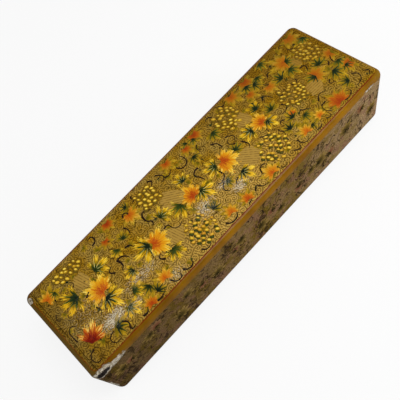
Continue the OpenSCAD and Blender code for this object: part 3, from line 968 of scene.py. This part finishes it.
# Ink curls all over the top and along its near edge, as points from the knob to the thin end
TENDRILS = [
    [(-70, 25), (-67, 26), (-67, 30), (-70, 31)], [(-107, 16), (-106, 19), (-103, 20)],
    [(-67, 5), (-65, 6), (-62, 5), (-60, 2)], [(-66, 5), (-66, 1), (-68, -1)],
    [(-113, -12), (-114, -7), (-112, -3), (-109, -3), (-108, -5)], [(-112, 10), (-115, 8), (-113, 5)],
    [(-50, 18), (-49, 15), (-50, 12)], [(-46, 23), (-44, 25), (-42, 23), (-44, 21)],
    [(-33, 31), (-34, 29), (-33, 27), (-36, 26)], [(-38, 14), (-36, 16), (-33, 15), (-31, 13)],
    [(-38, 14), (-38, 10), (-36, 7), (-37, 5)], [(-35, -2), (-32, -2), (-31, -6), (-28, -8), (-25, -7)],
    [(-14, 28), (-12, 26), (-11, 23), (-14, 21)], [(-11, 22), (-8, 21), (-5, 23)],
    [(-2, 21), (0, 18), (4, 18), (6, 22), (5, 25)], [(6, 10), (3, 10), (1, 8), (2, 5), (3, 1)],
    [(22, 15), (25, 12), (25, 8), (22, 4)], [(31, 11), (33, 10), (35, 7), (33, 5)],
    [(35, 1), (36, -4), (34, -6)], [(12, -2), (12, -6), (9, -8), (6, -8), (6, -6)],
    [(9, -9), (6, -11), (5, -14), (7, -16)], [(16, -14), (13, -15), (12, -17)],
    [(26, -23), (28, -20), (31, -20), (32, -22)], [(45, 30), (47, 28), (50, 29)],
    [(54, 31), (57, 31), (60, 29), (64, 30)], [(64, 10), (66, 12), (68, 10), (69, 6)],
    [(73, 18), (75, 15), (77, 14)], [(87, 13), (90, 15), (93, 13)], [(95, 7), (98, 6), (97, 3), (94, 1)],
    [(43, -6), (46, -8), (49, -8), (50, -5)], [(68, -1), (69, -4), (67, -6), (63, -6)],
    [(112, -2), (110, -5), (110, -9)], [(102, 23), (104, 21), (107, 22)],
    [(71, -13), (73, -15), (76, -17)], [(82, -18), (86, -15), (90, -16)],
    [(53, -12), (54, -15), (53, -18)], [(-47, -16), (-49, -13), (-46, -11)],
    [(-90, 5), (-93, 3), (-92, 0)], [(-93, -5), (-92, -9), (-94, -11)], [(-58, 8), (-55, 7), (-54, 4)],
    [(-72, 1), (-74, 4), (-71, 6)], [(32, 3), (29, 6), (31, 9)], [(82, 5), (84, 2), (87, 3), (86, 6)],
    [(106, -6), (108, -4), (107, -1)], [(79, 19), (81, 21), (84, 20)], [(-96, 14), (-93, 16), (-94, 19)],
    [(17, 22), (15, 20), (16, 17)], [(-20, 29), (-18, 27), (-20, 25)], [(61, -10), (58, -9), (57, -12)],
    [(98, -13), (96, -15), (99, -17)], [(37, 28), (35, 30), (32, 29)], [(104, 27), (102, 29), (99, 28)],
    [(76, 4), (73, 3), (72, 6)],
]
EDGE_CURLS = [
    [(-109, -22), (-113, -24), (-112, -29), (-108, -29)],
    [(-95, -23), (-99, -25), (-98, -29), (-94, -29)], [(-88, -23), (-86, -26), (-87, -30), (-84, -30)],
    [(-78, -30), (-75, -31), (-73, -28)], [(-54, -27), (-52, -31), (-48, -30), (-48, -27)],
    [(-45, -28), (-43, -31), (-39, -30), (-38, -28)], [(-30, -28), (-28, -31), (-24, -30)],
    [(-10, -28), (-8, -31), (-3, -31), (-1, -28)], [(7, -30), (8, -31), (11, -29)],
    [(15, -28), (18, -26), (20, -29), (24, -31)], [(34, -27), (35, -30), (40, -31)],
    [(48, -28), (51, -31), (53, -28)], [(54, -25), (55, -29), (60, -31)],
    [(75, -29), (78, -30), (79, -27)], [(84, -21), (80, -22), (80, -27), (83, -29)],
    [(91, -30), (95, -30), (98, -28), (96, -26)], [(108, -21), (110, -24), (108, -28), (103, -29)],
    [(114, -26), (116, -28), (113, -30)], [(-67, -30), (-64, -31), (-60, -29)],
    [(66, -30), (69, -31), (71, -29)],
]

# What lies on or behind a motif, as shares of the motif's size, and a faint leaf's turn behind a blossom
PETALS = 0.93
STAR = 0.7
VEINS = 0.75
FAINT_BY_SEPAL = 1.3
FAINT_BY_BLOSSOM = 1.25
FAINT_TURN = 15

# Grapes: their pitch, closer at the rear end, the rows as a share of it, how many are missing or shaded;
# sizes are shares of the pitch, and a shade lies a little to the front, to the near side and lower
GRAPE_PITCH = 3.4
REAR_GRAPE_PITCH = 2.9
REAR_GRAPES_FROM = 60
GRAPE_ROW = 0.8
GRAPE_SCATTER = 0.8
GRAPES_MISSING = 0.1
GRAPES_SHADED = 0.7
GRAPE_SLANTS = (-70, -15)
GRAPE_SIZES = (0.26, 0.4)
SHADE_SIZES = (0.26, 0.38)
SHADE_PLACE = (-1.1, -1.0, -0.1)
WASH_SIZE = 0.5
LEAFY = 0.5

# Sprigs and faint leaves strewn along the top: places, distances from its middle, sizes, and the sprigs' sink
SPRIG_STEPS = 100
FIRST_SPRIG = -112
SPRIG_PITCH = 2.25
STREWN_TO = 29
SPRIGS_FROM = 6
FAINT_SIZES = (2.5, 5)
SPRIG_SIZES = (1.5, 3)
SPRIG_SINK = -0.03

# Widths of the ink curls, how they thin out along the top, and the share left of those by the front end
CURL_WIDTHS = (0.65, 0.9)
CURL_THINNING = 0.002
FINE_CURLS_BEFORE = -92
FINE_CURL = 0.55

# Walls that carry motifs: the body that each rides on, and half the length that the motifs are spread over
WALLS = {"near": ("case", 108), "far": ("case", 108), "rear": ("case", 26), "front": ("tray", 26)}
WALL_PITCH = 11
# On the walls, in millimetres: heights and sizes of the motifs, and heights, steps and widths of the curls
WALL_HEIGHTS = (9, 32)
WALL_PETALS = (4.5, 6.5)
WALL_CUT_LEAF = 7
WALL_LEAVES = (6, 8.5)
WALL_STARS = (4, 6)
WALL_SINK = -0.05
WALL_CURL_HEIGHTS = (12, 30)
WALL_CURL_STEP = 2.6
WALL_CURL_WIDTHS = (0.5, 0.8)


# Lights, floor and camera; lamps have a name, a place, a width, a power, and whether gloss mirrors them
LAMPS = [
    ("key", (0.25, -0.15, 0.80), 0.5, 3.2, True),
    ("right_fill", (0.42, -0.36, 0.20), 0.3, 1.6, False),
    ("left_fill", (-0.60, 0.10, 0.45), 0.5, 0.7, True),
]
FLOOR_SIZE = 6.0
FLOOR_DROP = 0.0003


def background_rays(tree):
    """1 for the rays that show the background: seen directly, mirrored or through something clear."""
    path = tree.nodes.new("ShaderNodeLightPath")
    direct = larger(tree, path.outputs["Is Camera Ray"], path.outputs["Is Glossy Ray"])
    return larger(tree, direct, path.outputs["Is Transmission Ray"])


def stage_floor():
    """A pale floor that takes the shadow and fades to white away from the case."""
    deselect()
    bpy.ops.mesh.primitive_plane_add(size=FLOOR_SIZE, location=(0, 0, -FLOOR_DROP))
    floor = bpy.context.object
    floor.name = "studio_floor"
    material, tree, surface = new_material("studio_floor")
    set_surface(tree, surface, Base_Color=(0.8, 0.8, 0.8, 1), Roughness=0.9)
    glow = tree.nodes.new("ShaderNodeEmission")
    glow.inputs["Color"].default_value = WHITE
    glow.inputs["Strength"].default_value = 1.0
    coordinates = tree.nodes.new("ShaderNodeTexCoord")
    away = smooth(tree, vector_calc(tree, "LENGTH", coordinates.outputs["Object"]), 0.2, 1.0)
    mixer = tree.nodes.new("ShaderNodeMixShader")
    put(tree, times(tree, background_rays(tree), ranged(tree, 0.85, away, 0.15)), mixer.inputs["Fac"])
    put(tree, surface.outputs["BSDF"], mixer.inputs[1])
    put(tree, glow.outputs["Emission"], mixer.inputs[2])
    put(tree, mixer.outputs["Shader"], tree.nodes["Material Output"].inputs["Surface"])
    floor.data.materials.append(material)


def soft_lamp(name, place, width, power, mirrored):
    """A round lamp aimed at the origin, under the middle of the case."""
    data = bpy.data.lights.new(name, "AREA")
    data.shape = "DISK"
    data.size = width
    data.energy = power
    lamp = bpy.data.objects.new(name, data)
    bpy.context.collection.objects.link(lamp)
    lamp.location = place
    lamp.rotation_euler = (-Vector(place)).to_track_quat("-Z", "Y").to_euler()
    lamp.visible_glossy = mirrored


def white_surround():
    """A world that is white where it is seen, dimmer as a light, and dark overhead in gloss."""
    world = bpy.data.worlds.new("studio")
    bpy.context.scene.world = world
    world.use_nodes = True
    tree = world.node_tree
    back = tree.nodes["Background"]
    coordinates = tree.nodes.new("ShaderNodeTexCoord")
    overhead = smooth(tree, split(tree, coordinates.outputs["Generated"])["Z"], 0.15, 0.75)
    path = tree.nodes.new("ShaderNodeLightPath")
    ceiling = times(tree, overhead, path.outputs["Is Glossy Ray"])
    shown = minus(tree, background_rays(tree), times(tree, ceiling, 1.4))
    put(tree, ranged(tree, 0.4, shown, 0.6), back.inputs["Strength"])
    put(tree, WHITE, back.inputs["Color"])


def studio():
    """Light, floor and camera of the photograph."""
    white_surround()
    for lamp in LAMPS:
        soft_lamp(*lamp)
    stage_floor()
    view = bpy.data.cameras.new("photograph")
    view.lens = CAMERA_LENS
    view.shift_x, view.shift_y = CAMERA_SHIFT
    view.clip_start = 0.01
    camera = bpy.data.objects.new("photograph", view)
    bpy.context.collection.objects.link(camera)
    camera.location = CAMERA_PLACE
    camera.rotation_euler = Euler([math.radians(turn) for turn in CAMERA_TURN], "XYZ")
    bpy.context.scene.camera = camera
    bpy.context.scene.view_settings.view_transform = "Standard"


# Painting of the case

def dress(nodes, material):
    """Give CAD nodes a material."""
    for name in nodes:
        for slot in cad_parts[name].material_slots:
            slot.material = material


def top_paints():
    """The paints of the top's motifs."""
    return {
        "orange": brush_paint(
            "leaf_orange",
            tones((0.04, 180, 68, 6), (0.2, 210, 116, 14), (0.4, 222, 150, 14), (0.68, 224, 174, 24),
                  (1.0, 246, 214, 92)),
            tones((0.05, 96, 10, 0), (0.35, 144, 30, 2), (0.6, 206, 116, 20), (0.8, 232, 180, 60),
                  (1.0, 238, 204, 104)),
            amber=0.45),
        "faded": brush_paint(
            "leaf_faded",
            tones((0.05, 184, 74, 6), (0.35, 208, 124, 12), (0.65, 214, 158, 26), (1.0, 240, 202, 82)),
            tones((0.05, 140, 38, 4), (0.35, 168, 74, 6), (0.65, 168, 108, 12), (1.0, 172, 132, 32)),
            amber=0.45),
        "yellow": brush_paint(
            "leaf_yellow",
            tones((0.14, 30, 44, 6), (0.34, 96, 86, 6), (0.52, 190, 142, 8), (0.78, 222, 172, 16),
                  (1.0, 248, 212, 70))),
        "green": brush_paint(
            "sepal_green",
            tones((0.1, 12, 22, 14), (0.55, 18, 42, 18), (0.95, 56, 82, 20)),
            tones((0.1, 28, 36, 6), (0.55, 62, 76, 16), (0.95, 120, 122, 30)),
            amber=0.0),
        "pale": brush_paint("vein_pale", tones((0.2, 158, 158, 76), (0.9, 214, 204, 122))),
        "grape": brush_paint(
            "grape_gold",
            tones((0.05, 134, 102, 8), (0.4, 208, 164, 22), (0.85, 248, 218, 88)),
            tones((0.05, 116, 84, 14), (0.4, 186, 124, 20), (0.85, 216, 152, 40)),
            amber=0.5),
        "wash": brush_paint(
            "grape_wash", tones((0.0, 92, 68, 8), (0.4, 132, 98, 16), (0.9, 156, 116, 24)), amber=0.3),
        "shade": brush_paint(
            "grape_shade",
            tones((0.1, 36, 48, 12), (0.9, 62, 72, 18)),
            tones((0.1, 84, 64, 8), (0.9, 122, 98, 20))),
        "faint": brush_paint(
            "faint_olive",
            tones((0.1, 88, 80, 4), (0.4, 142, 112, 10), (0.7, 176, 138, 20), (1.0, 200, 162, 44))),
        "ink": brush_paint("ink_brown", tones((0.2, 26, 14, 6), (0.9, 40, 24, 10)), amber=0.0),
        "gold": hatched_gold(),
    }


def make_motifs():
    """A few of each kind of motif, one unit in size, to be copied onto the faces."""
    return {
        "leaf": [palm_leaf("leaf", 8, 275, 0.6, MAPLE_LOBE, 0.012, 4, 4, 0.55) for variant in range(3)],
        "fan leaf": [palm_leaf("fan_leaf", 5, 165, 0.6, MAPLE_LOBE, 0.012, 3, 4)],
        "cut leaf": [palm_leaf("cut_leaf", 5, 215, 0.42, MAPLE_LOBE, 0.01, 3, 2) for variant in range(3)],
        "plain leaf": [palm_leaf("plain_leaf", 5, 215, 0.4, MAPLE_LOBE, 0.006, 0, 0) for variant in range(2)],
        "petals": [palm_leaf("petals", 6, 255, 0.58, MAPLE_LOBE, 0.014, 2, 3, 0.45) for variant in range(3)],
        "star": [palm_leaf("star", 5, 175, 0.3, SLIM_LOBE, 0.04, 0, 0) for variant in range(3)],
        "veins": [vein_lines("veins", 4, 120)],
        "dot": [grape("dot", 0.4)],
        "dab": [grape("dab", 0.04)],
    }


def pick(motifs, kind, index=0):
    """The variants of a motif in turn."""
    return motifs[kind][index % len(motifs[kind])]


def paint_leaves(paints, motifs):
    """Gold fans, leaves, blossoms and sepals of the top; gives back the faint leaves that lie behind them."""
    fans = [hatch_fan("top", *fan) for fan in HATCH_FANS]
    finish_piece(fans, "gold_fans", paints["gold"], smooth_faces=False)
    big = [lay(pick(motifs, "fan leaf"), "top", *RED_LEAF)]
    for index, leaf in enumerate(BIG_LEAVES):
        big.append(lay(pick(motifs, "leaf", index), "top", *leaf))
    finish_piece(big, "orange_leaves", paints["orange"])
    blossoms = []
    for index, (x, y, size, angle, red) in enumerate(BLOSSOMS):
        blossoms.append(lay(pick(motifs, "petals", index), "top", x, y, PETALS * size, angle, red))
    finish_piece(blossoms, "faded_leaves", paints["faded"])

    yellows = []
    greens = []
    veins = []
    faint = []

    def add_star(index, x, y, size, angle):
        lean = angle + draw.uniform(-12, 12)
        greens.append(lay(pick(motifs, "star", index), "top", x, y, size, lean, draw.random()))

    def add_faint(index, x, y, size, angle):
        faint.append(lay(pick(motifs, "plain leaf", index), "top", x, y, size, angle, draw.random()))

    for index, (x, y, size, angle) in enumerate(LEAFED_SEPALS):
        yellows.append(lay(pick(motifs, "cut leaf", index), "top", x, y, size, angle, draw.random()))
        add_star(index, x, y, STAR * size, angle)
        if index % 3:
            lean = angle + draw.uniform(-20, 20)
            veins.append(lay(pick(motifs, "veins"), "top", x, y, VEINS * size, lean))
    for index, (x, y, size, angle) in enumerate(SMALL_SEPALS):
        add_faint(index, x, y, FAINT_BY_SEPAL * size, angle)
        add_star(index, x, y, size, angle)
    for index, blossom in enumerate(BLOSSOMS):
        x, y, size, angle = blossom[:4]
        add_faint(index, x, y, FAINT_BY_BLOSSOM * size, angle + FAINT_TURN)
    finish_piece(yellows, "yellow_leaves", paints["yellow"])
    finish_piece(greens, "green_sepals", paints["green"])
    finish_piece(veins, "pale_veins", paints["pale"])
    return faint


def bunch_places(x, y, half_x, half_y, pitch):
    """Row, column and place of each grape of an oval bunch, in rows from the near side to the far one."""
    rows = int(half_y / (pitch * GRAPE_ROW))
    for row in range(-rows, rows + 1):
        down = row * pitch * GRAPE_ROW
        half_row = half_x * math.sqrt(max(0.05, 1 - (down / (half_y + 2)) ** 2))
        count = int(half_row / (pitch / 2))
        for column in range(count + 1):
            across = (column - count / 2) * pitch
            yield row, column, x + across, y + down


def paint_grapes(paints, motifs):
    """Bunches of grapes, most with a shade beside them; all but the leafy ones lie on dabs of wash."""
    washes = []
    grapes = []
    shades = []
    dot = pick(motifs, "dot")
    dab = pick(motifs, "dab")
    shade_x, shade_y, sink = SHADE_PLACE
    for x, y, half_x, half_y, leafy in GRAPE_BUNCHES:
        pitch = GRAPE_PITCH if x < REAR_GRAPES_FROM else REAR_GRAPE_PITCH
        for row, column, grape_x, grape_y in bunch_places(x, y, half_x, half_y, pitch):
            if draw.random() < GRAPES_MISSING:
                continue
            grape_x += draw.uniform(-GRAPE_SCATTER, GRAPE_SCATTER)
            grape_y += draw.uniform(-GRAPE_SCATTER, GRAPE_SCATTER)
            slant = draw.uniform(*GRAPE_SLANTS)
            if leafy < LEAFY:
                tone = 0.1 * (row + column) % 1.0
                washes.append(lay(dab, "top", grape_x, grape_y, pitch * WASH_SIZE, slant, tone))
            size = pitch * draw.uniform(*GRAPE_SIZES)
            tone = draw.random() * (0.3 + 0.6 * leafy)
            grapes.append(lay(dot, "top", grape_x, grape_y, size, slant, tone))
            if draw.random() < GRAPES_SHADED:
                size = pitch * draw.uniform(*SHADE_SIZES)
                under = (grape_x + shade_x, grape_y + shade_y)
                shades.append(lay(dot, "top", *under, size, slant, 1.0 - leafy, sink))
    finish_piece(washes, "grape_washes", paints["wash"])
    finish_piece(grapes, "grapes", paints["grape"])
    finish_piece(shades, "grape_shades", paints["shade"])


def paint_sprigs(paints, motifs, faint):
    """Small sprigs and faint leaves strewn over the ground, from the front end to the rear."""
    sprigs = []

    def along_top(step):
        return FIRST_SPRIG + SPRIG_PITCH * step + draw.uniform(-2, 2)

    def strew(kind, step, x, y, sizes, lift=0.0):
        size = draw.uniform(*sizes)
        angle = draw.uniform(0, 360)
        return lay(pick(motifs, kind, step), "top", x, y, size, angle, draw.random(), lift)

    for step in range(SPRIG_STEPS):
        x = along_top(step)
        faint.append(strew("plain leaf", step, x, draw.uniform(-STREWN_TO, STREWN_TO), FAINT_SIZES))
        if step % 2:
            x = along_top(step)
            y = draw.choice((-1, 1)) * draw.uniform(SPRIGS_FROM, STREWN_TO)
            sprigs.append(strew("star", step, x, y, SPRIG_SIZES, SPRIG_SINK))
    finish_piece(sprigs, "green_sprigs", paints["green"])
    finish_piece(faint, "faint_leaves", paints["faint"])


def paint_tendrils(ink):
    """Ink curls of the top: thinner towards the rear, and thin by the front end too."""
    curls = []
    for points in TENDRILS + EDGE_CURLS:
        start = points[0][0]
        breadth = draw.uniform(*CURL_WIDTHS) - CURL_THINNING * start
        curls.append(tendril("top", points, breadth * (FINE_CURL if start < FINE_CURLS_BEFORE else 1.0)))
    finish_piece(curls, "ink_tendrils", ink)


def paint_walls(motifs):
    """The same motifs on the sides and ends, in darker paints."""
    paints = {
        "rose": brush_paint(
            "wall_rose", tones((0.1, 96, 56, 38), (0.5, 116, 78, 54), (1.0, 134, 104, 68)), specular=0.0),
        "olive": brush_paint(
            "wall_olive", tones((0.1, 60, 50, 24), (0.5, 104, 84, 40), (1.0, 142, 116, 64)), specular=0.0),
        "green": brush_paint("wall_green", tones((0.1, 42, 34, 16), (1.0, 68, 58, 28)), specular=0.0),
        "ink": brush_paint("wall_ink", tones((0.1, 40, 28, 18), (0.9, 56, 42, 28)), specular=0.0),
    }
    made = {}
    for face, (body, half) in WALLS.items():
        groups = made.setdefault(body, {kind: [] for kind in paints})
        spots = max(3, round(2 * half / WALL_PITCH))
        for spot in range(spots):
            across = -half + 2 * half * spot / (spots - 1) + draw.uniform(-4, 4)
            up = draw.uniform(*WALL_HEIGHTS)
            lean = draw.uniform(0, 360)
            if spot % 5 in (1, 3):
                size = draw.uniform(*WALL_PETALS)
                groups["rose"].append(lay(pick(motifs, "petals"), face, across, up, size, lean))
                cut_leaf = pick(motifs, "cut leaf")
                behind = lay(cut_leaf, face, across, up, WALL_CUT_LEAF, lean + 180, lift=WALL_SINK)
                groups["olive"].append(behind)
            else:
                size = draw.uniform(*WALL_LEAVES)
                groups["olive"].append(lay(pick(motifs, "leaf"), face, across, up, size, lean))
            size = draw.uniform(*WALL_STARS)
            groups["green"].append(lay(pick(motifs, "star"), face, across, up, size, lean + 170))
            for curl in range(2):
                near = clamp(across + draw.uniform(-7, 7), -half, half)
                start = Vector((near, draw.uniform(*WALL_CURL_HEIGHTS), 0))
                bend = draw.uniform(0, 2 * math.pi)
                points = []
                for step in range(3):
                    heading = Vector((math.cos(bend + step), math.sin(bend + step), 0))
                    points.append(start + WALL_CURL_STEP * step * heading)
                groups["ink"].append(tendril(face, points, draw.uniform(*WALL_CURL_WIDTHS)))
    for body, groups in made.items():
        for kind, pieces in groups.items():
            finish_piece(pieces, f"{body}_wall_{kind}", paints[kind], body)


def paint_motifs():
    """All painted motifs, from the top's plain gold up to its ink curls, and then those of the walls."""
    paints = top_paints()
    motifs = make_motifs()
    faint = paint_leaves(paints, motifs)
    paint_grapes(paints, motifs)
    paint_sprigs(paints, motifs, faint)
    paint_tendrils(paints["ink"])
    paint_walls(motifs)
    for variants in motifs.values():
        for motif in variants:
            bpy.data.objects.remove(motif)


studio()
dress(["case_sleeve", "rear_end_plate", "tray_front"], painted_case())
dress(["tray_trough", "cross_board", "side_board"], tray_lacquer())
dress(["inkwell_cup", "inkwell_top", "inkwell_lid", "hinge_pin", "knife_ferrule"], old_brass())
dress(["reed_pen_1", "reed_pen_2", "reed_pen_3"], reed_cane())
dress(["knife_handle", "nib_rest"], polished_bone())
dress(["knife_blade"], blade_steel())
paint_motifs()
